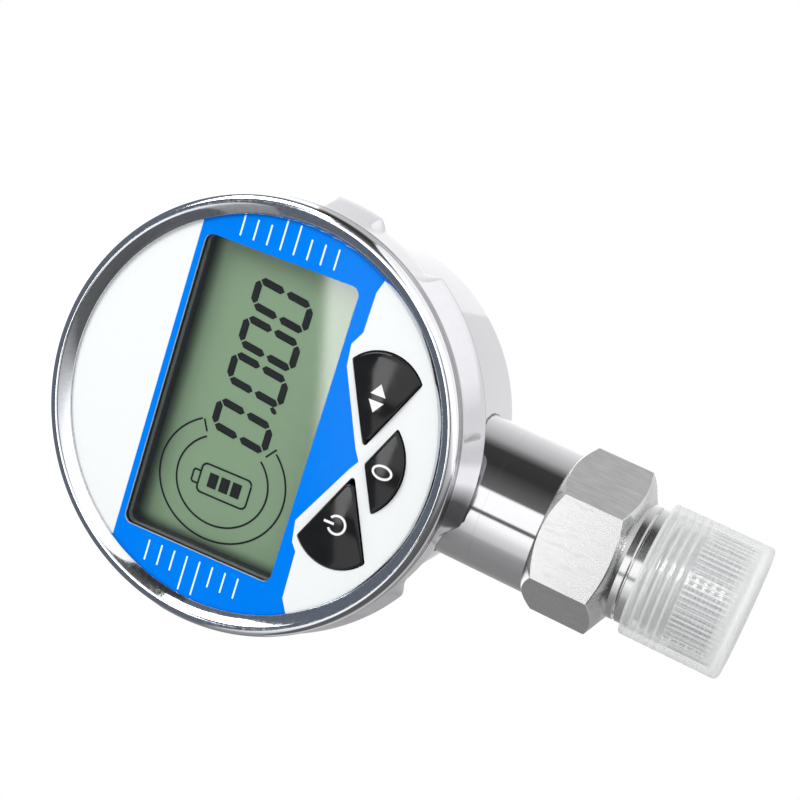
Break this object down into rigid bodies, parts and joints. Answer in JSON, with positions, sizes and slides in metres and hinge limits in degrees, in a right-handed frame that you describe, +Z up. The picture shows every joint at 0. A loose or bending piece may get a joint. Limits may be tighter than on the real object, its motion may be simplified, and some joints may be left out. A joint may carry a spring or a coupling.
{
  "type": "digital pressure gauge",
  "caption": "Round digital pressure gauge with a bayonet bezel, display window, membrane-style keys and a capped male thread on a hexagon stem.",
  "frame": {"origin": "centre of the pressure port's mouth, on the end face of the thread", "axes": "+Z up along the stem's axis, from the thread towards the dial; -Y out of the dial towards the reader; +X to the reader's right"},
  "size_m": [0.0802, 0.0386, 0.1289],
  "materials": {
    "steel_polished": "polished stainless steel",
    "steel_bezel": "polished stainless sheet",
    "steel_turned": "turned stainless steel, fine tool marks",
    "steel_screw": "plain steel",
    "steel_spring": "nickel-plated spring strip",
    "brass_plain": "turned brass",
    "gold_plated": "gold-plated pins",
    "rubber_black": "nitrile rubber",
    "rubber_grey": "layered conductive elastomer",
    "film_print": "printed polyester film, smooth",
    "clear_pane": "clear pane",
    "display_glass": "reflective grey-green display",
    "key_black": "glossy black dome",
    "plastic_grey": "moulded, fine texture",
    "plastic_black": "moulded, matt",
    "plastic_white": "moulded, matt",
    "board_green": "laminate under green mask",
    "battery_wrap": "plain sleeve, no print",
    "lead_sleeve": "jacketed lead",
    "cap_plastic": "translucent polyethylene, frosted"
  },
  "bodies": {
    "case": {"case_body": "steel_polished", "case_gasket": "rubber_black", "face_overlay": "film_print", "face_plate": "plastic_grey", "window_lens": "clear_pane", "display_frame": "plastic_black", "lcd_panel": "display_glass", "lcd_backlight": "plastic_white", "contact_strips": "rubber_grey", "circuit_board": "board_green", "board_standoffs": "brass_plain", "board_screws": "steel_screw", "tact_switches": "plastic_black", "board_chips": "plastic_black", "lead_connector": "plastic_white", "battery_holder": "plastic_black", "battery_cells": "battery_wrap", "battery_contacts": "steel_spring", "stem_tube": "steel_polished", "stem_seal": "rubber_black", "pressure_fitting": "steel_turned", "sensor_cell": "steel_turned", "sensor_seal": "rubber_black", "sensor_retainer": "brass_plain", "sensor_pins": "gold_plated", "sensor_board": "board_green", "sensor_lead": "lead_sleeve"},
    "bezel": {"bezel_ring": "steel_bezel", "bezel_gasket": "rubber_black"},
    "unit_button": {"unit_key": "key_black"},
    "zero_button": {"zero_key": "key_black"},
    "power_button": {"power_key": "key_black"},
    "cap": {"thread_cap": "cap_plastic"}
  },
  "joints": [
    {"name": "bezel_turn", "type": "hinge", "parent": "case", "child": "bezel", "pos_m": [0, -0.0225, 0.0865], "axis": [0, 1, 0], "range_deg": [-22.5, 0]},
    {"name": "unit_key_press", "type": "slide", "parent": "case", "child": "unit_button", "axis": [0, 1, 0], "range_m": [0, 0.0004], "stiffness_N_per_m": 1500},
    {"name": "zero_key_press", "type": "slide", "parent": "case", "child": "zero_button", "axis": [0, 1, 0], "range_m": [0, 0.0004], "stiffness_N_per_m": 1500},
    {"name": "power_key_press", "type": "slide", "parent": "case", "child": "power_button", "axis": [0, 1, 0], "range_m": [0, 0.0004], "stiffness_N_per_m": 1500},
    {"name": "cap_pull", "type": "slide", "parent": "case", "child": "cap", "axis": [0, 0, -1], "range_m": [0, 0.045]}
  ]
}
